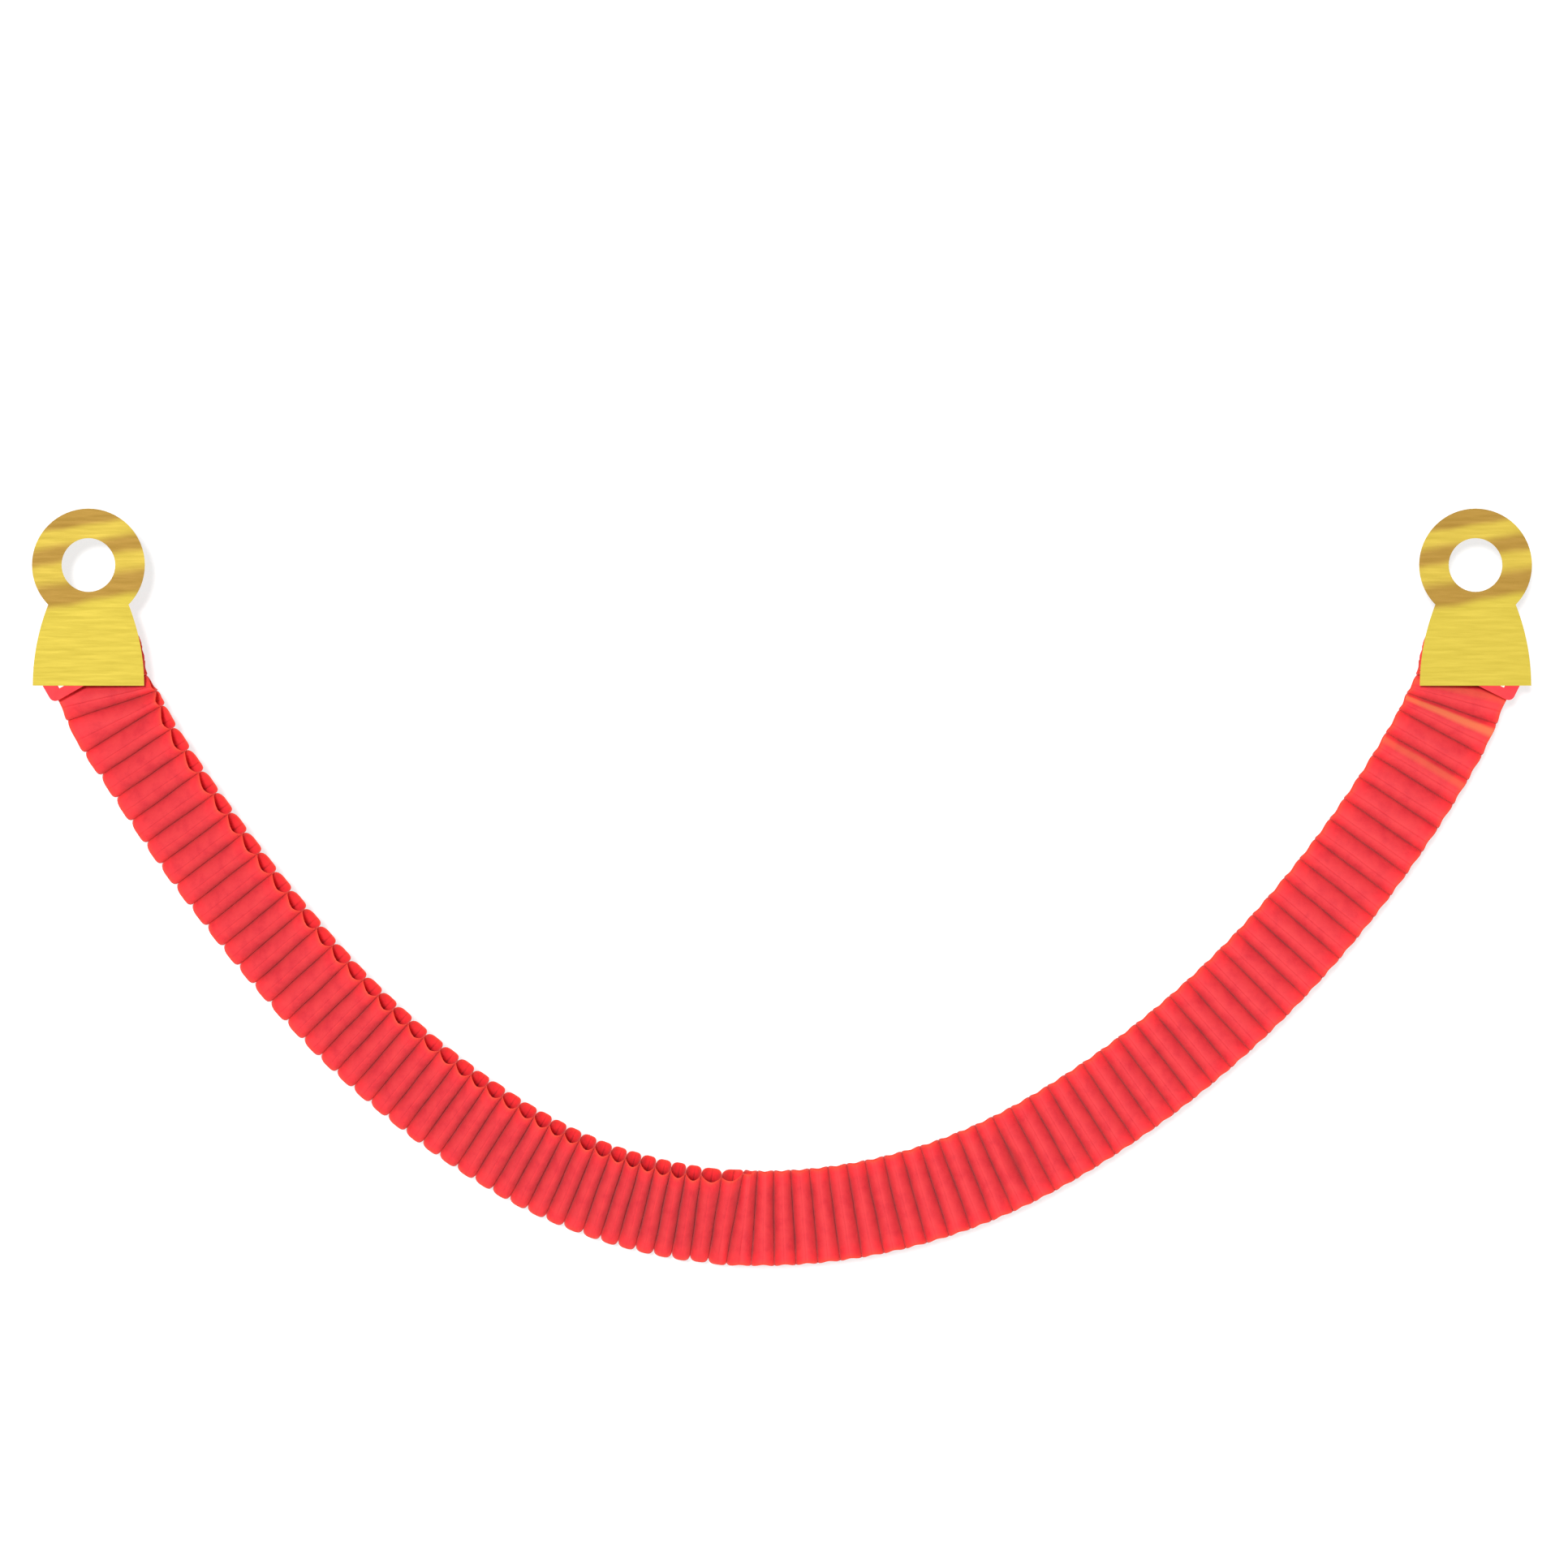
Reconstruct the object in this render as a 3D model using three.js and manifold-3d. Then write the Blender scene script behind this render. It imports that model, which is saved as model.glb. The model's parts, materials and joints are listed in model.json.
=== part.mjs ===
// A tissue-paper accordion garland that hangs in a U between two gold card hanging tabs.
//
// Millimetres, +Z up. The origin is the centre of the left tab's hanging hole, +X runs to
// the right tab, and the garland's front faces -Y. The garland is a chain of paper
// diamonds: every leaf is glued to one neighbour along its centre line and to the other
// along its front and back edges, so that the chain opens and closes like an accordion.

import * as THREE from 'three';
import { mergeVertices } from 'three/addons/utils/BufferGeometryUtils.js';
import Module from 'manifold-3d';

const wasm = await Module();
wasm.setup();

const degrees = Math.PI / 180;

// Card tabs
const holeSpacing = 1707;
const holeRadius = 33;
const ringRadius = 69.5;
const waistHalfWidth = 49.5;
const bellHalfWidth = 68.5;
const tabBottom = -148.5;
const cardThickness = 0.6;
const gluePatch = { width: 84, height: 30, thickness: 0.4 };

// Paper leaves
const leafWidth = 117;
const leafDepth = 54;
const leafCorner = 8;
const leafThickness = 0.6;
const gap = 0.3;
const weldDistance = 1e-4;

// Glued strips: along a leaf's centre line, and along its front and back edges
const centreStrip = { depth: 5, width: 100 };
const edgeStrip = 3;

// The drape: arcs that follow each other smoothly from the left tab to the right one
const garlandStart = { x: 8, y: 31, z: -143.5, heading: -60.4 * degrees };
const arcs = [
  { turn: 12, radius: 2180 },
  { turn: 18, radius: 1060 },
  { turn: 30, radius: 587 },
  { turn: 30, radius: 700 },
  { turn: 18, radius: 1220 },
  { turn: 16, radius: 1440 },
].map(({ turn, radius }) => ({ turn: turn * degrees, radius }));

// How far the paper's own weight pulls the cells open: least in the middle of the drape,
// most at the tabs. The left half is packed tighter than the right.
const tabPitch = 38.5;
const leftPitch = 22.5;
const rightPitch = 28;
const steepest = 61 * degrees;

// The left half is rolled about its own axis, fully from a short way below its tab on,
// and it turns flat again in one short twist
const fullRoll = 27 * degrees;
const rollLength = 110;
const twist = { start: 1040, length: 55 };

// Groups of sections. A flexing section is one cell long, a closing section is five.
const flexCells = 1;
const closingCells = 5;
const closingSections = 3;
const groups = 5;
const fanCells = 3;
const fanClearance = 1.5;

const colours = {
  card: { color: 0xe3c23a, roughness: 0.28, metalness: 0.85 },
  paper: { color: 0xf8353f, roughness: 0.82, metalness: 0 },
  glue: { color: 0xe8e0cc, roughness: 0.6, metalness: 0 },
};

const garland = new THREE.Group();

function addMesh(name, geometry, colour) {
  const mesh = new THREE.Mesh(geometry, new THREE.MeshStandardMaterial(colours[colour]));
  mesh.name = name;
  garland.add(mesh);
  return mesh;
}

// ---- solids ----

function toManifold(geometry) {
  geometry.deleteAttribute('normal');
  geometry.deleteAttribute('uv');
  const merged = mergeVertices(geometry, weldDistance);
  return new wasm.Manifold(new wasm.Mesh({
    numProp: 3,
    vertProperties: Float32Array.from(merged.attributes.position.array),
    triVerts: Uint32Array.from(merged.index.array),
  }));
}

// The manifold's surface as a geometry, with every vertex moved by place(vertex).
function toGeometry(manifold, place) {
  const { numProp, vertProperties, triVerts } = manifold.getMesh();
  const positions = [];
  for (let i = 0; i < vertProperties.length; i += numProp) {
    const vertex = new THREE.Vector3().fromArray(vertProperties, i);
    positions.push(...place(vertex).toArray());
  }
  const geometry = new THREE.BufferGeometry();
  geometry.setAttribute('position', new THREE.Float32BufferAttribute(positions, 3));
  geometry.setIndex([...triVerts]);
  geometry.computeVertexNormals();
  return geometry;
}

// A leaf's outline, its width along x and its depth along y, with round corners.
function leafOutline(halfWidth, halfDepth, cornerWidth, cornerDepth) {
  const shape = new THREE.Shape();
  const x = halfWidth - cornerWidth;
  const y = halfDepth - cornerDepth;
  shape.absellipse(x, y, cornerWidth, cornerDepth, 0, 0.5 * Math.PI);
  shape.absellipse(-x, y, cornerWidth, cornerDepth, 0.5 * Math.PI, Math.PI);
  shape.absellipse(-x, -y, cornerWidth, cornerDepth, Math.PI, 1.5 * Math.PI);
  shape.absellipse(x, -y, cornerWidth, cornerDepth, 1.5 * Math.PI, 2 * Math.PI);
  return shape;
}

// ---- the drape's centreline ----

// Where each arc begins: its own length, start point and start heading.
function laidArcs() {
  let { x, z, heading } = garlandStart;
  let start = 0;
  return arcs.map(({ turn, radius }) => {
    const arc = { x, z, heading, radius, start, length: turn * radius };
    x += radius * (Math.sin(heading + turn) - Math.sin(heading));
    z += radius * (Math.cos(heading) - Math.cos(heading + turn));
    heading += turn;
    start += arc.length;
    return arc;
  });
}

const laid = laidArcs();
const garlandLength = laid.at(-1).start + laid.at(-1).length;

function centreAt(distance) {
  const arc = laid.findLast(({ start }) => distance >= start) ?? laid[0];
  const { radius } = arc;
  const heading = arc.heading + (distance - arc.start) / radius;
  return {
    x: arc.x + radius * (Math.sin(heading) - Math.sin(arc.heading)),
    z: arc.z + radius * (Math.cos(arc.heading) - Math.cos(heading)),
    heading,
  };
}

function rollAt(distance) {
  const rolled = THREE.MathUtils.smoothstep(distance, 0, rollLength);
  const flattened = THREE.MathUtils.smoothstep(distance, twist.start, twist.start + twist.length);
  return fullRoll * rolled * (1 - flattened);
}

// A frame across the garland: x along it, y through its depth, z across its width.
function frameAt(distance) {
  const { x, z, heading } = centreAt(distance);
  const angle = rollAt(distance);
  const along = new THREE.Vector3(Math.cos(heading), 0, Math.sin(heading));
  const inward = new THREE.Vector3(-Math.sin(heading), 0, Math.cos(heading));
  const back = new THREE.Vector3(0, 1, 0);
  const across = inward.clone().multiplyScalar(Math.cos(angle)).addScaledVector(back, -Math.sin(angle));
  const depth = back.clone().multiplyScalar(Math.cos(angle)).addScaledVector(inward, Math.sin(angle));
  return new THREE.Matrix4().makeBasis(along, depth, across).setPosition(x, garlandStart.y, z);
}

// ---- cells ----

function pitchAt(distance) {
  const { heading } = centreAt(distance);
  const slackPitch = distance < twist.start ? leftPitch : rightPitch;
  return slackPitch + (tabPitch - slackPitch) * (heading / steepest) ** 2;
}

const cellCount = groups * (flexCells + closingSections * closingCells) + flexCells;

// The distances along the drape at which one cell ends and the next begins.
function cellStations() {
  const step = 1;
  const counted = [0];
  for (let at = step / 2; at < garlandLength; at += step) {
    counted.push(counted.at(-1) + step / pitchAt(at));
  }
  return Array.from({ length: cellCount + 1 }, (_, cell) => {
    const wanted = counted.at(-1) * cell / cellCount;
    const after = Math.max(1, counted.findIndex((count) => count >= wanted - 1e-9));
    const share = (wanted - counted[after - 1]) / (counted[after] - counted[after - 1]);
    return garlandLength * (after - 1 + share) / (counted.length - 1);
  });
}

// How far a cell's ridges stand out in front of and behind the centre line.
function ridgeDepth(pitch) {
  return Math.sqrt((leafDepth / 2) ** 2 - (pitch / 2) ** 2);
}

// The section of a run of cells: x along the run, y through its depth. Each cell is a
// diamond of two leaves around a hole, and neighbours meet in a narrow glued neck.
function pleatSection(stations) {
  const neck = centreStrip.depth / 2;
  const front = [];
  const back = [];
  const holes = [];
  for (let cell = 0; cell + 1 < stations.length; cell += 1) {
    const start = stations[cell];
    const end = stations[cell + 1];
    const middle = (start + end) / 2;
    const ridge = ridgeDepth(end - start);
    for (const [list, side] of [[front, -1], [back, 1]]) {
      list.push(new THREE.Vector2(start, side * neck));
      list.push(new THREE.Vector2(middle - leafThickness, side * ridge));
      list.push(new THREE.Vector2(middle + leafThickness, side * ridge));
    }
    const inset = leafThickness;
    holes.push(new THREE.Path([
      new THREE.Vector2(start + inset, -neck + inset),
      new THREE.Vector2(start + inset, neck - inset),
      new THREE.Vector2(middle, ridge - edgeStrip),
      new THREE.Vector2(end - inset, neck - inset),
      new THREE.Vector2(end - inset, -neck + inset),
      new THREE.Vector2(middle, -ridge + edgeStrip),
    ]));
  }
  front.push(new THREE.Vector2(stations.at(-1), -neck));
  back.push(new THREE.Vector2(stations.at(-1), neck));
  const shape = new THREE.Shape([...front, ...back.reverse()]);
  shape.holes = holes;
  return shape;
}

// A run of cells as one solid, with place(distance) giving the frame at each distance.
// It stops short of what it is glued to by the clearance.
function pleatGeometry(stations, place, clearance = leafThickness + gap) {
  const ends = [...stations];
  ends[0] += clearance;
  ends[ends.length - 1] -= clearance;
  const cells = new THREE.ExtrudeGeometry(pleatSection(ends), {
    depth: leafWidth,
    bevelEnabled: false,
  }).translate(0, 0, -leafWidth / 2);

  // the round ends of the leaves, as deep as the ridges of a cell of mean length
  const length = stations.at(-1) - stations[0];
  const ridge = ridgeDepth(length / (stations.length - 1));
  const cornerDepth = leafCorner * ridge / (leafDepth / 2);
  const outline = leafOutline(leafWidth / 2, ridge + leafThickness, leafCorner, cornerDepth);
  const envelope = new THREE.ExtrudeGeometry(outline, {
    depth: length,
    bevelEnabled: false,
    curveSegments: 1,
  }).rotateY(Math.PI / 2).translate(stations[0], 0, 0);

  const solid = toManifold(cells).intersect(toManifold(envelope));
  return toGeometry(solid, ({ x, y, z }) => new THREE.Vector3(0, y, z).applyMatrix4(place(x)));
}

// ---- pieces ----

// A ring with a bell under it. The bell's sides start where it meets the ring and end
// upright at the bottom edge.
function tabShape() {
  const waistAngle = Math.asin(waistHalfWidth / ringRadius);
  const waistZ = -ringRadius * Math.cos(waistAngle);
  const flare = bellHalfWidth - waistHalfWidth;
  const bellHeight = waistZ - tabBottom;
  const sideRadius = (flare ** 2 + bellHeight ** 2) / (2 * flare);
  const sideAngle = Math.asin(bellHeight / sideRadius);
  const sideCentre = bellHalfWidth - sideRadius;
  const downward = -Math.PI / 2;

  const shape = new THREE.Shape();
  shape.absarc(0, 0, ringRadius, downward + waistAngle, downward - waistAngle + 2 * Math.PI);
  shape.absarc(-sideCentre, tabBottom, sideRadius, Math.PI - sideAngle, Math.PI);
  shape.absarc(sideCentre, tabBottom, sideRadius, 0, sideAngle);
  const hole = new THREE.Path();
  hole.absarc(0, 0, holeRadius, 0, 2 * Math.PI, true);
  shape.holes.push(hole);
  return shape;
}

function addTab(side, holeX) {
  const geometry = new THREE.ExtrudeGeometry(tabShape(), {
    depth: cardThickness,
    bevelEnabled: false,
    curveSegments: 24,
  }).translate(0, 0, -cardThickness / 2);
  const tab = addMesh(`${side}_tab`, geometry, 'card');
  tab.rotation.x = Math.PI / 2;
  tab.position.x = holeX;
}

// The leaf that is glued flat on a tab's back, the glue between them, and the first few
// cells, which fan out from that leaf about a hinge line near the tab's lower edge.
function addTabEnd(side, glueFrame) {
  const glueCentre = new THREE.Vector3().setFromMatrixPosition(glueFrame);
  const glueDepth = new THREE.Vector3().setFromMatrixColumn(glueFrame, 1);
  const glueAcross = new THREE.Vector3().setFromMatrixColumn(glueFrame, 2);
  const leafY = cardThickness / 2 + 2 * gap + gluePatch.thickness + leafThickness / 2;
  const hingeRadius = (glueCentre.y - leafY) / glueDepth.y;
  const hinge = glueCentre.clone().addScaledVector(glueDepth, -hingeRadius);

  // on the tab, the run begins backwards (+Y) and the leaf's depth points up
  const slope = Math.atan2(glueAcross.z, glueAcross.x);
  const leafUp = new THREE.Vector3(-Math.sin(slope), 0, Math.cos(slope));
  const onTab = new THREE.Matrix4().makeBasis(
    new THREE.Vector3(0, 1, 0),
    leafUp,
    new THREE.Vector3(Math.cos(slope), 0, Math.sin(slope)),
  );
  const leafCentre = hinge.clone().addScaledVector(leafUp, hingeRadius);
  const fromTurn = new THREE.Quaternion().setFromRotationMatrix(onTab);
  const toTurn = new THREE.Quaternion().setFromRotationMatrix(glueFrame);
  const fanLength = hingeRadius * Math.PI / 2;
  const place = (distance) => {
    const turn = fromTurn.clone().slerp(toTurn, distance / fanLength);
    const centre = new THREE.Vector3(0, hingeRadius, 0).applyQuaternion(turn).add(hinge);
    return new THREE.Matrix4().makeRotationFromQuaternion(turn).setPosition(centre);
  };

  const outline = leafOutline(leafWidth / 2, leafDepth / 2, leafCorner, leafCorner);
  const leaf = new THREE.ExtrudeGeometry(outline, {
    depth: leafThickness,
    bevelEnabled: false,
    curveSegments: 6,
  }).translate(0, 0, -leafThickness / 2);
  const endLeaf = addMesh(`${side}_end_leaf`, leaf, 'paper');
  endLeaf.rotation.set(Math.PI / 2, 0, slope);
  endLeaf.position.copy(leafCentre);

  const patch = new THREE.BoxGeometry(gluePatch.width, gluePatch.thickness, gluePatch.height);
  const glue = addMesh(`${side}_tab_glue`, patch, 'glue');
  glue.rotation.y = -slope;
  glue.position.set(leafCentre.x, cardThickness / 2 + gap + gluePatch.thickness / 2, leafCentre.z);

  const stations = Array.from({ length: fanCells + 1 }, (_, i) => i * fanLength / fanCells);
  addMesh(`${side}_fan`, pleatGeometry(stations, place, fanClearance), 'paper');
}

function addGlueLine(number, frame) {
  const { depth, width } = centreStrip;
  const strip = new THREE.BoxGeometry(2 * leafThickness, depth, width);
  const line = addMesh(`glue_line_${number}`, strip, 'paper');
  line.position.setFromMatrixPosition(frame);
  line.quaternion.setFromRotationMatrix(frame);
}

// How many cells each section has, from the left tab to the right one.
function sectionSizes() {
  const group = [flexCells, ...Array(closingSections).fill(closingCells)];
  return [...Array(groups).fill(group).flat(), flexCells];
}

function addGarland() {
  const stations = cellStations();
  let first = 0;
  sectionSizes().forEach((cells, index) => {
    const number = String(index + 1).padStart(2, '0');
    addGlueLine(number, frameAt(stations[first]));
    const run = stations.slice(first, first + cells + 1);
    addMesh(`pleats_${number}`, pleatGeometry(run, frameAt), 'paper');
    first += cells;
  });
  addGlueLine(String(sectionSizes().length + 1).padStart(2, '0'), frameAt(garlandLength));
}

// The right tab sees the garland arrive, so its run is turned round to leave the tab.
function turnedRound(frame) {
  const along = new THREE.Vector3().setFromMatrixColumn(frame, 0).negate();
  const depth = new THREE.Vector3().setFromMatrixColumn(frame, 1);
  const across = new THREE.Vector3().setFromMatrixColumn(frame, 2).negate();
  return new THREE.Matrix4().makeBasis(along, depth, across).copyPosition(frame);
}

addTab('left', 0);
addTab('right', holeSpacing);
addTabEnd('left', frameAt(0));
addTabEnd('right', turnedRound(frameAt(garlandLength)));
addGarland();

export default garland;
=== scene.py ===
import json
import math

import bpy
import numpy as np
from mathutils import Matrix, Vector, noise


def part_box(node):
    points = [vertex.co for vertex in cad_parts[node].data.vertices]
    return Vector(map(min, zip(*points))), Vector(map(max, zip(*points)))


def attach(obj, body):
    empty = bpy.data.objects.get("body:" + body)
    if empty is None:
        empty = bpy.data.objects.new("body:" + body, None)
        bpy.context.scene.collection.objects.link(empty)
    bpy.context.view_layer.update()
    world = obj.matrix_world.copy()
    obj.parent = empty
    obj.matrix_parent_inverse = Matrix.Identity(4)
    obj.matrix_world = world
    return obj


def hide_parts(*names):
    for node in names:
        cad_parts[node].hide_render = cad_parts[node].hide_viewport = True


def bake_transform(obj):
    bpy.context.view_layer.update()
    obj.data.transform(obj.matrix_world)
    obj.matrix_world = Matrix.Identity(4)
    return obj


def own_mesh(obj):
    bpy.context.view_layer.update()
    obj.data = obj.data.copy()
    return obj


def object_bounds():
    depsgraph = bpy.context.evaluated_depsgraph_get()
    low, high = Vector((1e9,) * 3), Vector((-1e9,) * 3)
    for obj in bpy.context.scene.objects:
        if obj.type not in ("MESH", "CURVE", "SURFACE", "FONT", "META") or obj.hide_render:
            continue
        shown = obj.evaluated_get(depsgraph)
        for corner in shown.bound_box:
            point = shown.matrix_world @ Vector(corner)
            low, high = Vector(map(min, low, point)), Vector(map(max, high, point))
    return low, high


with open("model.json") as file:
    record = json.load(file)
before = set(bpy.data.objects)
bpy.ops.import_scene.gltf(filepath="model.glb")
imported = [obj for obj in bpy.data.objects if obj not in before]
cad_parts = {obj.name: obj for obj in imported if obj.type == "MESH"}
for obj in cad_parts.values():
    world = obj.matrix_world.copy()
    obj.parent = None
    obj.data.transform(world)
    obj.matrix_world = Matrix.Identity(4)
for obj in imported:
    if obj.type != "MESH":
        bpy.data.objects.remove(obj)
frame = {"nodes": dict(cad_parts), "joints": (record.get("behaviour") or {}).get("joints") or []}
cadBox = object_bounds()
print("frame loaded:", len(frame["nodes"]), "nodes")


# ---------- small helpers ----------

def deselectAll():
    if bpy.context.mode != "OBJECT":
        bpy.ops.object.mode_set(mode="OBJECT")
    bpy.ops.object.select_all(action="DESELECT")


def makeActive(obj):
    deselectAll()
    obj.select_set(True)
    bpy.context.view_layer.objects.active = obj


def applyModifier(obj, kind, name, **settings):
    modifier = obj.modifiers.new(name, kind)
    for key, value in settings.items():
        setattr(modifier, key, value)
    makeActive(obj)
    bpy.ops.object.modifier_apply(modifier=name)


def smoothstep(value, low, high):
    share = min(1.0, max(0.0, (value - low) / (high - low)))
    return share * share * (3 - 2 * share)


def newMaterial(name):
    material = bpy.data.materials.new(name)
    material.use_nodes = True
    nodes = material.node_tree.nodes
    nodes.clear()
    output = nodes.new("ShaderNodeOutputMaterial")
    shader = nodes.new("ShaderNodeBsdfPrincipled")
    material.node_tree.links.new(shader.outputs["BSDF"], output.inputs["Surface"])
    return material, nodes, material.node_tree.links, shader, output


def addNode(nodes, kind, **settings):
    node = nodes.new(kind)
    for key, value in settings.items():
        if key in node.inputs:
            node.inputs[key].default_value = value
        else:
            setattr(node, key, value)
    return node


def tintOver(nodes, links, strength, colour, tint):
    # the tint lies over the colour, as strongly as the strength socket says
    mix = addNode(nodes, "ShaderNodeMix", data_type="RGBA")
    mix.inputs[7].default_value = (*tint, 1)
    links.new(strength, mix.inputs["Factor"])
    links.new(colour, mix.inputs[6])
    return mix.outputs[2]


def setRamp(node, stops):
    ramp = node.color_ramp
    while len(ramp.elements) > 1:
        ramp.elements.remove(ramp.elements[-1])
    ramp.elements[0].position = stops[0][0]
    ramp.elements[0].color = (*stops[0][1], 1)
    for position, colour in stops[1:]:
        ramp.elements.new(position).color = (*colour, 1)


# ---------- tissue paper ----------

tissueLook = {
    "red": (0.955, 0.052, 0.066),  # what the sheet shows face on
    "deepRed": (0.78, 0.022, 0.045),
    # painted glow: the orange that the leaf rims are tinted with
    "rimGlowOrange": (1.0, 0.115, 0.045),
    # painted highlight: peach for the stripe where the top slats catch the light
    "peachHighlight": (1.0, 0.24, 0.10),
    # painted shade: the darker red laid into the folds between leaves
    "glued": (0.50, 0.006, 0.03),
    "roughness": 0.62,
    "grainBump": 0.18,
    "shadowed": (0.20, 0.003, 0.010),  # what shows far inside a cell
    "rimGlowStrength": 0.75,
    "foldShadeStrength": 0.10,
    "seeThrough": 0.40,  # share of light that comes through from behind
}


def tissueMaterial(name, inside):
    look = tissueLook
    material, nodes, links, shader, output = newMaterial(name)
    coords = addNode(nodes, "ShaderNodeTexCoord")
    leafCoords = addNode(nodes, "ShaderNodeUVMap", uv_map="leaf")

    blotch = addNode(nodes, "ShaderNodeTexNoise", Scale=55.0, Detail=4.0, Roughness=0.6)
    links.new(coords.outputs["Object"], blotch.inputs["Vector"])
    stretch = addNode(nodes, "ShaderNodeMapping")
    stretch.inputs["Scale"].default_value = (6.0, 110.0, 1.0)  # fibres lie along the leaf
    links.new(leafCoords.outputs["UV"], stretch.inputs["Vector"])
    fibre = addNode(nodes, "ShaderNodeTexNoise", Scale=3.2, Detail=6.0, Roughness=0.65)
    links.new(stretch.outputs["Vector"], fibre.inputs["Vector"])
    speck = addNode(nodes, "ShaderNodeTexVoronoi", Scale=1400.0)
    links.new(coords.outputs["Object"], speck.inputs["Vector"])

    base = addNode(nodes, "ShaderNodeValToRGB")
    setRamp(base, [(0.28, look["deepRed"]), (0.52, look["red"]), (0.8, (1.0, 0.075, 0.075))])
    tone = addNode(nodes, "ShaderNodeMix", data_type="FLOAT")
    tone.inputs["Factor"].default_value = 0.45
    links.new(blotch.outputs["Fac"], tone.inputs[2])
    links.new(fibre.outputs["Fac"], tone.inputs[3])
    links.new(tone.outputs[0], base.inputs["Fac"])

    # painted glow: the thin rim of each leaf is tinted orange, as light shows through where one sheet is
    # all there is
    rimGlowMask = addNode(nodes, "ShaderNodeAttribute", attribute_name="rimGlowMask")
    rimFade = addNode(nodes, "ShaderNodeMapRange")
    rimFade.inputs["To Max"].default_value = look["rimGlowStrength"]
    links.new(rimGlowMask.outputs["Fac"], rimFade.inputs["Value"])
    rimGlowed = tintOver(nodes, links, rimFade.outputs["Result"], base.outputs["Color"], look["rimGlowOrange"])

    # painted shade: the leaves darken towards the folds between them, where they are glued
    foldShade = addNode(nodes, "ShaderNodeAttribute", attribute_name="foldShade")
    foldShadeFade = addNode(nodes, "ShaderNodeMapRange")
    foldShadeFade.inputs["To Max"].default_value = look["foldShadeStrength"]
    links.new(foldShade.outputs["Fac"], foldShadeFade.inputs["Value"])
    foldShaded = tintOver(nodes, links, foldShadeFade.outputs["Result"], rimGlowed, look["glued"])

    # painted highlight: the top slats by the right tab get a peach stripe where they catch the light
    peachHighlight = addNode(nodes, "ShaderNodeAttribute", attribute_name="peachHighlight")
    highlighted = tintOver(nodes, links, peachHighlight.outputs["Fac"], foldShaded, look["peachHighlight"])

    # little light reaches the inner faces away from a cell's open ends
    paper = highlighted
    if inside:
        deep = addNode(nodes, "ShaderNodeAttribute", attribute_name="deep")
        paper = tintOver(nodes, links, deep.outputs["Fac"], highlighted, look["shadowed"])
    links.new(paper, shader.inputs["Base Color"])

    roughRange = addNode(nodes, "ShaderNodeMapRange")
    roughRange.inputs["To Min"].default_value = look["roughness"] - 0.12
    roughRange.inputs["To Max"].default_value = look["roughness"] + 0.16
    links.new(fibre.outputs["Fac"], roughRange.inputs["Value"])
    links.new(roughRange.outputs["Result"], shader.inputs["Roughness"])

    height = addNode(nodes, "ShaderNodeMath", operation="MULTIPLY_ADD")
    height.inputs[1].default_value = 0.35
    links.new(speck.outputs["Distance"], height.inputs[0])
    links.new(fibre.outputs["Fac"], height.inputs[2])
    bump = addNode(nodes, "ShaderNodeBump", Strength=look["grainBump"], Distance=0.0006)
    links.new(height.outputs[0], bump.inputs["Height"])
    links.new(bump.outputs["Normal"], shader.inputs["Normal"])
    shader.inputs["Specular IOR Level"].default_value = 0.35
    shader.inputs["Sheen Weight"].default_value = 0.12

    glow = addNode(nodes, "ShaderNodeBsdfTranslucent")
    links.new(highlighted, glow.inputs["Color"])
    links.new(bump.outputs["Normal"], glow.inputs["Normal"])
    both = addNode(nodes, "ShaderNodeMixShader")
    both.inputs["Fac"].default_value = look["seeThrough"]
    links.new(shader.outputs["BSDF"], both.inputs[1])
    links.new(glow.outputs["BSDF"], both.inputs[2])
    links.new(both.outputs["Shader"], output.inputs["Surface"])
    return material


# ---------- gold foil card ----------

foilLook = {
    # painted reflection: tones of the light and dark bands reflected in the foil
    "reflectedBright": (0.34, 0.245, 0.016),
    "reflectedSatin": (0.34, 0.26, 0.014),
    "reflectedDark": (0.22, 0.120, 0.004),
    "cutEdge": (0.90, 0.80, 0.38),
    "bandRise": 0.17,  # the painted reflection bands climb this much for each metre to the right
    "bandShake": 0.012,
    "bandLowest": -0.15,  # the painted reflection bands are laid out from this height, over this span
    "bandSpan": 0.22,
    "metallic": 0.50,
    "roughness": 0.52,
}


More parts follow.
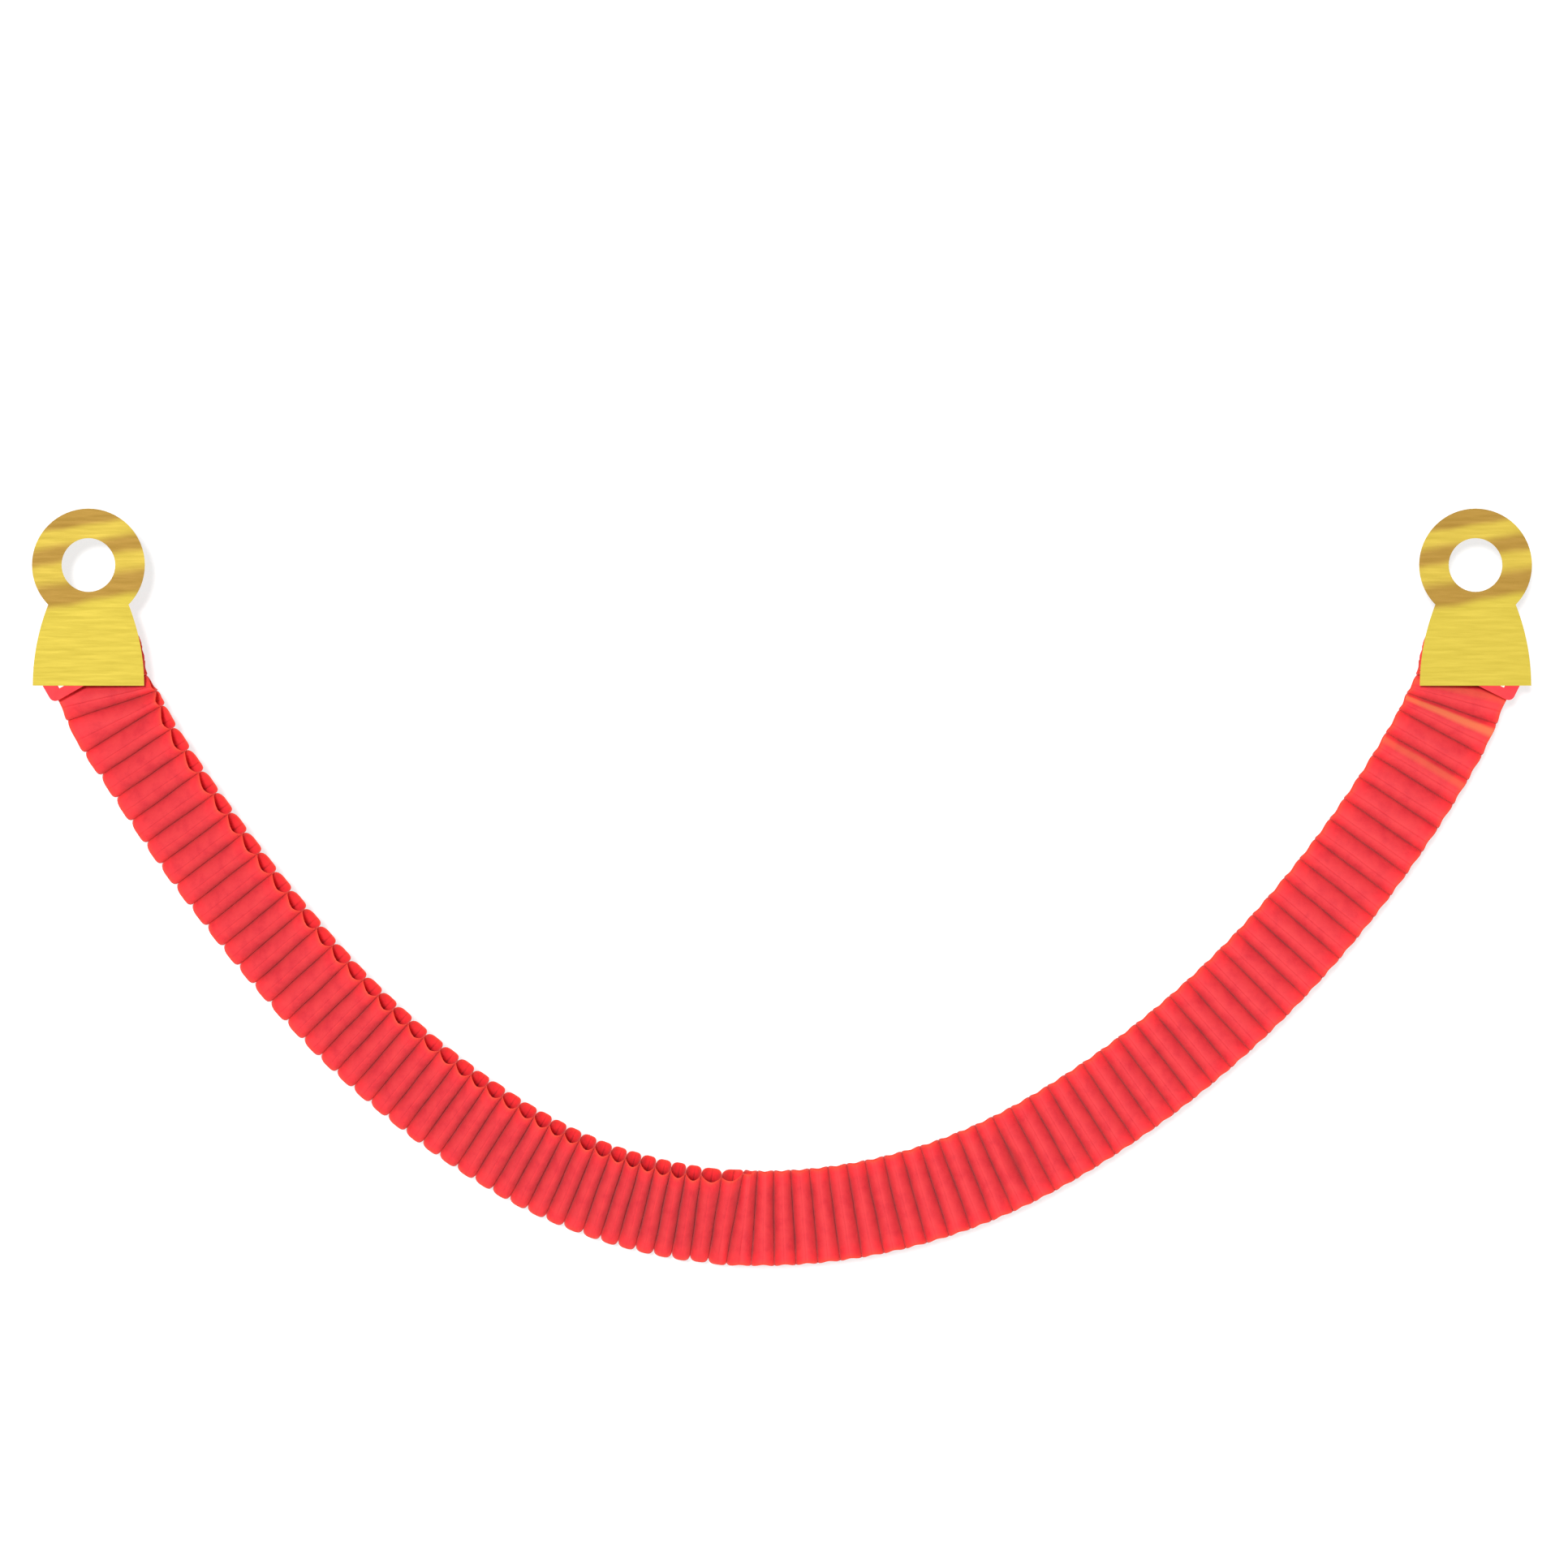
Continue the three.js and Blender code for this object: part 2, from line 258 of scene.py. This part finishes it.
def foilMaterial(name, hole):
    look = foilLook
    material, nodes, links, shader, _ = newMaterial(name)
    coords = addNode(nodes, "ShaderNodeTexCoord")
    local = addNode(nodes, "ShaderNodeMapping")
    local.inputs["Location"].default_value = (-hole.x, -hole.y, -hole.z)
    links.new(coords.outputs["Object"], local.inputs["Vector"])
    axes = addNode(nodes, "ShaderNodeSeparateXYZ")
    links.new(local.outputs["Vector"], axes.inputs["Vector"])

    # painted reflection: bands of light and shade in the foil, one soft wave after another down the ring
    wobble = addNode(nodes, "ShaderNodeTexNoise", Scale=14.0, Detail=2.0)
    links.new(local.outputs["Vector"], wobble.inputs["Vector"])
    lean = addNode(nodes, "ShaderNodeMath", operation="MULTIPLY_ADD")
    lean.inputs[1].default_value = -look["bandRise"]
    links.new(axes.outputs["X"], lean.inputs[0])
    links.new(axes.outputs["Z"], lean.inputs[2])
    shaky = addNode(nodes, "ShaderNodeMath", operation="MULTIPLY_ADD")
    shaky.inputs[1].default_value = look["bandShake"]
    links.new(wobble.outputs["Fac"], shaky.inputs[0])
    links.new(lean.outputs[0], shaky.inputs[2])
    place = addNode(nodes, "ShaderNodeMapRange")
    place.inputs["From Min"].default_value = look["bandLowest"]
    place.inputs["From Max"].default_value = look["bandLowest"] + look["bandSpan"]
    links.new(shaky.outputs[0], place.inputs["Value"])
    reflectionBands = addNode(nodes, "ShaderNodeValToRGB")

    def at(height):  # ramp place of a height above the hole's centre, in metres
        return (height + look["bandShake"] / 2 - look["bandLowest"]) / look["bandSpan"]

    reflectedBright, reflectedSatin, reflectedDark = look["reflectedBright"], look["reflectedSatin"], look["reflectedDark"]
    setRamp(reflectionBands, [
        (at(-0.150), reflectedSatin), (at(-0.050), reflectedSatin), (at(-0.037), reflectedDark), (at(-0.023), reflectedDark),
        (at(-0.006), reflectedBright), (at(0.003), reflectedBright), (at(0.014), reflectedDark), (at(0.022), reflectedDark),
        (at(0.036), reflectedBright), (at(0.045), reflectedBright), (at(0.054), reflectedDark), (at(0.066), reflectedDark),
    ])
    reflectionBands.color_ramp.interpolation = "EASE"
    links.new(place.outputs["Result"], reflectionBands.inputs["Fac"])

    streakMap = addNode(nodes, "ShaderNodeMapping")
    streakMap.inputs["Scale"].default_value = (18.0, 40.0, 260.0)
    streakMap.inputs["Rotation"].default_value = (0, math.radians(9), 0)
    links.new(local.outputs["Vector"], streakMap.inputs["Vector"])
    streak = addNode(nodes, "ShaderNodeTexNoise", Scale=1.0, Detail=5.0, Roughness=0.6)
    links.new(streakMap.outputs["Vector"], streak.inputs["Vector"])
    streaked = addNode(nodes, "ShaderNodeMix", data_type="RGBA", blend_type="OVERLAY")
    streaked.inputs["Factor"].default_value = 0.10
    links.new(reflectionBands.outputs["Color"], streaked.inputs[6])
    links.new(streak.outputs["Fac"], streaked.inputs[7])

    # the cut edge shows the pale card under the foil
    normalAxes = addNode(nodes, "ShaderNodeSeparateXYZ")
    links.new(coords.outputs["Normal"], normalAxes.inputs["Vector"])
    facing = addNode(nodes, "ShaderNodeMath", operation="ABSOLUTE")
    links.new(normalAxes.outputs["Y"], facing.inputs[0])
    edge = addNode(nodes, "ShaderNodeMapRange")
    edge.inputs["From Min"].default_value = 0.7
    edge.inputs["From Max"].default_value = 0.3
    links.new(facing.outputs[0], edge.inputs["Value"])
    card = tintOver(nodes, links, edge.outputs["Result"], streaked.outputs[2], look["cutEdge"])
    links.new(card, shader.inputs["Base Color"])

    metal = addNode(nodes, "ShaderNodeMapRange")
    metal.inputs["To Min"].default_value = look["metallic"]
    metal.inputs["To Max"].default_value = 0.0
    links.new(edge.outputs["Result"], metal.inputs["Value"])
    links.new(metal.outputs["Result"], shader.inputs["Metallic"])
    highlightStrength = addNode(nodes, "ShaderNodeMapRange")
    highlightStrength.inputs["To Min"].default_value = look["roughness"] - 0.08
    highlightStrength.inputs["To Max"].default_value = look["roughness"] + 0.16
    links.new(streak.outputs["Fac"], highlightStrength.inputs["Value"])
    links.new(highlightStrength.outputs["Result"], shader.inputs["Roughness"])
    bump = addNode(nodes, "ShaderNodeBump", Strength=0.12, Distance=0.0005)
    links.new(streak.outputs["Fac"], bump.inputs["Height"])
    links.new(bump.outputs["Normal"], shader.inputs["Normal"])
    return material


def glueMaterial():
    material, nodes, links, shader, _ = newMaterial("dryGlue")
    coords = addNode(nodes, "ShaderNodeTexCoord")
    cloud = addNode(nodes, "ShaderNodeTexNoise", Scale=180.0, Detail=4.0)
    links.new(coords.outputs["Object"], cloud.inputs["Vector"])
    tint = addNode(nodes, "ShaderNodeValToRGB")
    setRamp(tint, [(0.35, (0.70, 0.62, 0.42)), (0.65, (0.88, 0.84, 0.70))])
    links.new(cloud.outputs["Fac"], tint.inputs["Fac"])
    links.new(tint.outputs["Color"], shader.inputs["Base Color"])
    bump = addNode(nodes, "ShaderNodeBump", Strength=0.4, Distance=0.0003)
    links.new(cloud.outputs["Fac"], bump.inputs["Height"])
    links.new(bump.outputs["Normal"], shader.inputs["Normal"])
    shader.inputs["Roughness"].default_value = 0.45
    return material


tissue = tissueMaterial("redTissue", False)
innerTissue = tissueMaterial("redTissueInside", True)
print("paper, foil and glue mixed")


# ---------- the drape ----------

drape = {
    "cellsPerClosing": 5,
    "roll": math.radians(27),
    "rollLength": 0.110,
    "twistStart": 1.040,
    "twistLength": 0.055,
    "leftLean": math.radians(21),  # the slats by the tabs hang flatter than the run
    "rightLean": math.radians(16),
    "leanLength": 0.075,
    "nudge": 0.004,  # and sit this far inwards from it
    "twistLean": math.radians(7),
    "fanCells": 3,
}

slit = {  # one valley on the flat half stands open at the front
    "x": 1.131,
    "open": 0.0026,
    "length": 0.030,
    "centre": -0.006,
}


def stripPlace(node):
    # centre of a glued strip, and the way the run goes through it
    points = np.array([v.co for v in frame["nodes"][node].data.vertices], float)
    points = np.unique(points.round(6), axis=0)
    centre = points.mean(0)
    _, axes = np.linalg.eigh(np.cov((points - centre).T))
    along = Vector(axes[:, 0])
    if along.x < 0:
        along.negate()
    return Vector(centre), along


glueNodes = sorted(n for n in frame["nodes"] if n.startswith("glue_line_"))
lineCentres, lineHeadings = [], []
for nodeName in glueNodes:
    centre, along = stripPlace(nodeName)
    lineCentres.append(centre)
    lineHeadings.append(math.atan2(along.z, along.x))

jointNames = [j["name"] for j in frame["joints"]]
sectionCells = [
    1 if f"flex_{i + 1:02d}" in jointNames else drape["cellsPerClosing"]
    for i in range(len(glueNodes) - 1)
]


def arcLength(section):
    chord = (lineCentres[section + 1] - lineCentres[section]).length
    half = (lineHeadings[section + 1] - lineHeadings[section]) / 2
    return chord * half / math.sin(half)


sectionLengths = [arcLength(i) for i in range(len(sectionCells))]
sectionStarts = [sum(sectionLengths[:i]) for i in range(len(sectionLengths) + 1)]
runLength = sectionStarts[-1]


def centreAt(distance):
    # place and heading on the drape, smooth between the glued strips at its section ends
    section = 0
    while section + 2 < len(sectionStarts) and distance > sectionStarts[section + 1]:
        section += 1
    length = sectionLengths[section]
    t = (distance - sectionStarts[section]) / length
    a, b = lineHeadings[section], lineHeadings[section + 1]
    startWay = Vector((math.cos(a), 0, math.sin(a))) * length
    endWay = Vector((math.cos(b), 0, math.sin(b))) * length
    p, q = lineCentres[section], lineCentres[section + 1]
    point = (p * (2 * t**3 - 3 * t**2 + 1) + startWay * (t**3 - 2 * t**2 + t)
             + q * (3 * t**2 - 2 * t**3) + endWay * (t**3 - t**2))
    return point, a + (b - a) * t


def endShares(distance):
    # 1 at the left and the right tab, fading to 0 along the run
    left = 1 - smoothstep(distance, 0, drape["leanLength"])
    right = smoothstep(distance, runLength - drape["leanLength"], runLength)
    return left, right


def rollAt(distance):
    rolled = smoothstep(distance, 0, drape["rollLength"])
    flat = smoothstep(distance, drape["twistStart"], drape["twistStart"] + drape["twistLength"])
    return drape["roll"] * rolled * (1 - flat)


def frameAt(distance):
    point, heading = centreAt(distance)
    angle = rollAt(distance)
    along = Vector((math.cos(heading), 0, math.sin(heading)))
    inward = Vector((-math.sin(heading), 0, math.cos(heading)))
    back = Vector((0, 1, 0))
    across = inward * math.cos(angle) - back * math.sin(angle)
    depth = back * math.cos(angle) + inward * math.sin(angle)
    left, right = endShares(distance)
    twistMiddle = drape["twistStart"] + drape["twistLength"] / 2
    fromTwist = 2 * (distance - twistMiddle) / drape["twistLength"]
    turn = left * drape["leftLean"] - right * drape["rightLean"]
    turn += drape["twistLean"] * math.exp(-(fromTwist**2))
    lean = Matrix.Rotation(turn, 3, depth)
    point = point + Vector((drape["nudge"] * (left - right), 0, 0))
    return point, lean @ along, depth, lean @ across


# ---------- leaves ----------

leaf = {
    "width": 0.117,
    "neckDip": 0.0008,  # each end is cut as two soft lobes, this much shorter between them
    "ridgeDip": 0.0018,  # and this much at the ridges
    "widest": 0.45,
    "thickness": 0.00022,
    "columns": 16,
    "bulge": 1.8,  # 1 folds the ridge sharp, 2 rounds it, more flattens it
    "gluedShare": 0.08,  # the leaves lie flat on each other for this share of their half depth
    "neckGap": 0.00011,
    "ridgeRise": 0.0264,  # how far the ridge of a shut cell stands out
    "ridgeFall": 0.64,  # it sinks by this share of half a cell as the cell opens
    "lap": 0.0011,  # glued edges lap over each other by twice this
    "lapStep": 0.00030,
    "lapStart": 0.8,
    "rimShare": 0.1,  # of each half width
    "patternStep": 1.37,  # moves the paper's grain on from leaf to leaf
    "droop": 0.30,  # the ridges sag downhill by this share of half a cell
    "wrinkle": 0.0009,
    "litDepth": 0.010,  # light falls this far into a cell's open ends
    "darkDepth": 0.022,
    "seed": 11,
}


def leafRows():
    ahead = [0.0, 0.07, 0.15, 0.25, 0.38, 0.52, 0.66, 0.80, 0.91, 1.0]
    return [-s for s in reversed(ahead[1:])] + ahead


def endHalfWidth(share):
    # how far the leaf reaches across at this share of its half depth
    neck = leaf["neckDip"] * (1 - smoothstep(abs(share), 0, leaf["widest"]))
    ridge = leaf["ridgeDip"] * smoothstep(abs(share), leaf["widest"], 1)
    return leaf["width"] / 2 - neck - ridge


def leafColumns():
    # from -1 to 1, closer together towards the lobed ends
    count = leaf["columns"]
    arc = 0.86 * math.pi
    return [math.sin((i / count - 0.5) * arc) / math.sin(arc / 2) for i in range(count + 1)]


rows, columns = leafRows(), leafColumns()
stationPlaces = []
for section, count in enumerate(sectionCells):
    stationPlaces += [sectionStarts[section] + sectionLengths[section] * i / count for i in range(count)]
slitStation = min(
    range(len(stationPlaces)),
    key=lambda i: abs(centreAt(stationPlaces[i])[0].x - slit["x"]),
)
lastCell = sum(sectionCells) - 1
highlightCells = {0: 0.35, 1: 1.0, 3: 0.45}  # how strongly the painted highlight shows on the slats, counted from the right tab
fanStation = 400  # the numbers of both fans' cells end here
gluedWave, ridgeWave, frontWave, backWave = 1, 2, 3, 4


def wobble(kind, index, across):
    # the same wave for both leaves that meet there, in metres, and none where a fan joins the run
    if kind == gluedWave and index in (0, lastCell + 1, fanStation):
        return 0.0
    wavesPerMetre, leafStep, kindStep = 22.0, 3.7, 9.1
    spot = Vector((across * wavesPerMetre, index * leafStep, kind * kindStep + leaf["seed"]))
    return noise.noise(spot) * leaf["wrinkle"]


def addLeaf(vertices, faces, uvs, shades, near, far, side, index, placeAt):
    # near and far are the run distances of the leaf's glued centre and of its two edges
    start = len(vertices)
    reach = abs(far - near)
    ridge = leaf["ridgeRise"] - leaf["ridgeFall"] * reach
    station = index if side > 0 else index + 1
    _, alongHere, _, _ = placeAt(far)
    droop = -leaf["droop"] * reach * alongHere.z
    for share in rows:
        opened = max(0.0, (abs(share) - leaf["gluedShare"]) / (1 - leaf["gluedShare"]))
        sideways = 1 - max(0.0, math.cos(opened * math.pi / 2)) ** (2 / leaf["bulge"])
        outward = math.sin(abs(share) * math.pi / 2) ** (2 / leaf["bulge"])
        halfWidth = endHalfWidth(share)
        for u in columns:
            across = u * halfWidth
            lift = wobble(frontWave if share < 0 else backWave, index, across) * outward
            lap = smoothstep(abs(share), leaf["lapStart"], 1.0)
            farReach = reach + leaf["lap"] * lap
            distance = near + side * (leaf["neckGap"] * (1 - sideways) + farReach * sideways)
            distance += wobble(gluedWave, station, across) * (1 - sideways)
            distance += wobble(ridgeWave, index, across) * sideways
            distance += droop * outward**2
            if share < 0 and station == slitStation:
                gape = math.exp(-(((across - slit["centre"]) / slit["length"]) ** 2) * 2)
                distance += side * slit["open"] * gape * math.sin(math.pi * abs(share)) ** 0.7
            point, along, depth, sidewaysAxis = placeAt(distance)
            under = leaf["lapStep"] * lap if side > 0 else 0.0
            reachOut = math.copysign(ridge * outward + lift - under, share) if share else 0.0
            vertices.append(point + depth * reachOut + sidewaysAxis * across)
            uvs.append((across / leaf["width"] + 0.5, share / 2 + 0.5 + index * leaf["patternStep"]))
            # painted glow mask: strongest at the leaf's side rims
            intoRim = max((abs(u) - 1) / leaf["rimShare"] + 1, 0.0)
            shades["rimGlowMask"].append(intoRim**1.5)
            # painted shade mask: strongest at the folds, fading out towards the ridge
            shades["foldShade"].append((1 - outward) ** 2)
            inwards = leaf["width"] / 2 - abs(across)
            shades["deep"].append(smoothstep(inwards, leaf["litDepth"], leaf["darkDepth"]))
            # painted highlight: a peach band on the front face of the slats nearest the right tab
            highlightFace = side < 0 and share < 0
            highlightStrength = highlightCells.get(lastCell - index, 0.0) if highlightFace else 0.0
            highlightBand = smoothstep(outward, 0.55, 0.66) * (1 - smoothstep(outward, 0.82, 0.92))
            shades["peachHighlight"].append(highlightBand * highlightStrength)
    width = len(columns)
    for r in range(len(rows) - 1):
        for c in range(width - 1):
            a = start + r * width + c
            quad = (a, a + 1, a + 1 + width, a + width)
            faces.append(quad if side > 0 else quad[::-1])


def leafPiece(name, cells, placeAt):
    vertices, faces, uvs = [], [], []
    shades = {"rimGlowMask": [], "foldShade": [], "deep": [], "peachHighlight": []}
    for near, far, side, index in cells:
        addLeaf(vertices, faces, uvs, shades, near, far, side, index, placeAt)
    mesh = bpy.data.meshes.new(name)
    mesh.from_pydata(vertices, [], faces)
    layer = mesh.uv_layers.new(name="leaf")
    for loop in mesh.loops:
        layer.data[loop.index].uv = uvs[loop.vertex_index]
    for label, values in shades.items():
        attribute = mesh.attributes.new(label, "FLOAT", "POINT")
        attribute.data.foreach_set("value", values)
    obj = bpy.data.objects.new(name, mesh)
    bpy.context.scene.collection.objects.link(obj)
    mesh.materials.append(tissue)
    mesh.materials.append(innerTissue)
    mesh.shade_smooth()
    applyModifier(obj, "SOLIDIFY", "paper", thickness=leaf["thickness"], offset=0, material_offset=1)
    return obj


def cellLeaves(stations, first):
    # both leaves of every cell, as (glued centre, edges, side, cell number)
    leaves = []
    for i in range(len(stations) - 1):
        middle = (stations[i] + stations[i + 1]) / 2
        leaves.append((stations[i], middle, 1, first + i))
        leaves.append((stations[i + 1], middle, -1, first + i))
    return leaves


cellNumber = 0
for section, count in enumerate(sectionCells):
    number = f"{section + 1:02d}"
    nextBody = f"section_{section + 2:02d}"
    start = sectionStarts[section]
    stations = [start + sectionLengths[section] * i / count for i in range(count + 1)]
    leaves = cellLeaves(stations, cellNumber)
    cellNumber += count
    replaced = [f"pleats_{number}", f"glue_line_{number}"]
    if section + 2 == len(glueNodes):
        replaced.append(glueNodes[-1])
    if count == 1:
        piece = leafPiece(f"flexLeaves_{number}", leaves, frameAt)
        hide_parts(*replaced)
        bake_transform(piece)
        continue
    for label, share, body, anchor in (
        ("first", leaves[:count], f"section_{number}", section),
        ("last", leaves[count:], nextBody, section + 1),
    ):
        piece = leafPiece(f"{label}Leaves_{number}", share, frameAt)
        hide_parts(*(replaced if label == "first" else replaced[:1]))
        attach(piece, body)
        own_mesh(piece)
print("garland leaves cut and glued:", 2 * cellNumber)


# ---------- fans behind the tabs ----------

def fanPlace(end):
    # the run bends a quarter turn from flat on the tab's back to the drape's first strip
    point, along, depth, across = frameAt(0.0 if end == "left" else runLength)
    if end == "right":
        along, across = -along, -across
    low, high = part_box(f"{end}_end_leaf")
    leafY = (low.y + high.y) / 2
    radius = (point.y - leafY) / depth.y
    hinge = point - depth * radius
    slope = math.atan2(across.z, across.x)
    leafUp = Vector((-math.sin(slope), 0, math.cos(slope)))
    leafAcross = Vector((math.cos(slope), 0, math.sin(slope)))
    onTab = Matrix((Vector((0, 1, 0)), leafUp, leafAcross)).transposed().to_quaternion()
    onRun = Matrix((along, depth, across)).transposed().to_quaternion()
    length = radius * math.pi / 2

    def placeAt(distance):
        turn = onTab.slerp(onRun, min(1.0, max(0.0, distance / length)))
        axes = turn.to_matrix()
        centre = hinge + axes.col[1] * radius
        return centre, axes.col[0], axes.col[1], axes.col[2]

    return placeAt, length, point, hinge + leafUp * radius


fanBodies = {
    "left": ("left_tab", "section_01"),
    "right": (f"section_{len(glueNodes):02d}", "right_tab"),
}
for end, bodies in fanBodies.items():
    placeAt, length, runEnd, tabEnd = fanPlace(end)
    count = drape["fanCells"]
    stations = [length * i / count for i in range(count + 1)]
    piece = leafPiece(f"{end}FanLeaves", cellLeaves(stations, fanStation - count), placeAt)
    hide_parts(f"{end}_fan")
    start, finish = (tabEnd, runEnd) if end == "left" else (runEnd, tabEnd)
    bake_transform(piece)
print("fans folded behind the tabs")


# ---------- CAD pieces that keep their shape ----------

def dress(node, material):
    obj = frame["nodes"][node]
    obj.data.materials.clear()
    obj.data.materials.append(material)


glue = glueMaterial()
leftLow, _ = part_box("left_tab")
rightLow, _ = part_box("right_tab")
holes = {"left": Vector((0, 0, 0)), "right": Vector((rightLow.x - leftLow.x, 0, 0))}
for end in ("left", "right"):
    dress(f"{end}_tab", foilMaterial(f"goldFoil_{end}", holes[end]))
    dress(f"{end}_tab_glue", glue)
    dress(f"{end}_end_leaf", tissue)
print("tabs foiled")


# ---------- studio ----------

studio = {
    "cameraDistance": 12.0,
    "frameWidth": 1.932,
    "centre": (0.856, -0.2695),
    "wallY": 0.084,
    "wallSize": 6,
    "wallColour": 0.35,
    "wallGlow": 0.68,
    "floorSize": 30,
    "floorColour": 0.85,
    "floorDrop": 0.40,
    "skyStrength": 0.45,
    "sunStrength": 3.3,
    "sunAngle": math.radians(8),
    "sunAim": (0.10, 1.0, -0.12),
}


def planeAt(name, size, location, rotation):
    deselectAll()
    bpy.ops.mesh.primitive_plane_add(size=size, location=location, rotation=rotation)
    obj = bpy.context.active_object
    obj.name = name
    return obj


def paleMaterial(name, colour, glow, oneSided):
    # a one-sided plane is clear from behind, so that it doesn't hide the garland's back
    material, nodes, links, shader, output = newMaterial(name)
    shader.inputs["Base Color"].default_value = (colour, colour, colour, 1)
    shader.inputs["Roughness"].default_value = 0.9
    shader.inputs["Emission Color"].default_value = (1, 1, 1, 1)
    shader.inputs["Emission Strength"].default_value = glow
    if oneSided:
        clear = addNode(nodes, "ShaderNodeBsdfTransparent")
        which = addNode(nodes, "ShaderNodeNewGeometry")
        choose = addNode(nodes, "ShaderNodeMixShader")
        links.new(which.outputs["Backfacing"], choose.inputs["Fac"])
        links.new(shader.outputs["BSDF"], choose.inputs[1])
        links.new(clear.outputs["BSDF"], choose.inputs[2])
        links.new(choose.outputs["Shader"], output.inputs["Surface"])
    return material


middle = Vector((studio["centre"][0], 0.015, studio["centre"][1]))
floorPlace = (middle.x, 0, cadBox[0].z - studio["floorDrop"])
floor = planeAt("floor", studio["floorSize"], floorPlace, (0, 0, 0))
floor.data.materials.append(paleMaterial("palePaper", studio["floorColour"], 0.0, False))
wallPlace = (middle.x, studio["wallY"], middle.z)
wall = planeAt("wall", studio["wallSize"], wallPlace, (math.radians(90), 0, 0))
wall.data.materials.append(paleMaterial("paleWall", studio["wallColour"], studio["wallGlow"], True))


sun = bpy.data.objects.new("sun", bpy.data.lights.new("sun", "SUN"))
bpy.context.scene.collection.objects.link(sun)
sun.data.energy = studio["sunStrength"]
sun.data.angle = studio["sunAngle"]
sun.rotation_euler = Vector(studio["sunAim"]).to_track_quat("-Z", "Y").to_euler()

world = bpy.data.worlds.new("softSky")
bpy.context.scene.world = world
world.use_nodes = True
world.node_tree.nodes["Background"].inputs["Color"].default_value = (1, 1, 1, 1)
world.node_tree.nodes["Background"].inputs["Strength"].default_value = studio["skyStrength"]

camera = bpy.data.objects.new("camera", bpy.data.cameras.new("camera"))
bpy.context.scene.collection.objects.link(camera)
camera.location = (middle.x, middle.y - studio["cameraDistance"], middle.z)
camera.rotation_euler = (math.radians(90), 0, 0)
camera.data.lens = camera.data.sensor_width / studio["frameWidth"] * studio["cameraDistance"]
camera.data.clip_end = 100
bpy.context.scene.camera = camera
bpy.context.scene.view_settings.view_transform = "Standard"
print("studio lit")
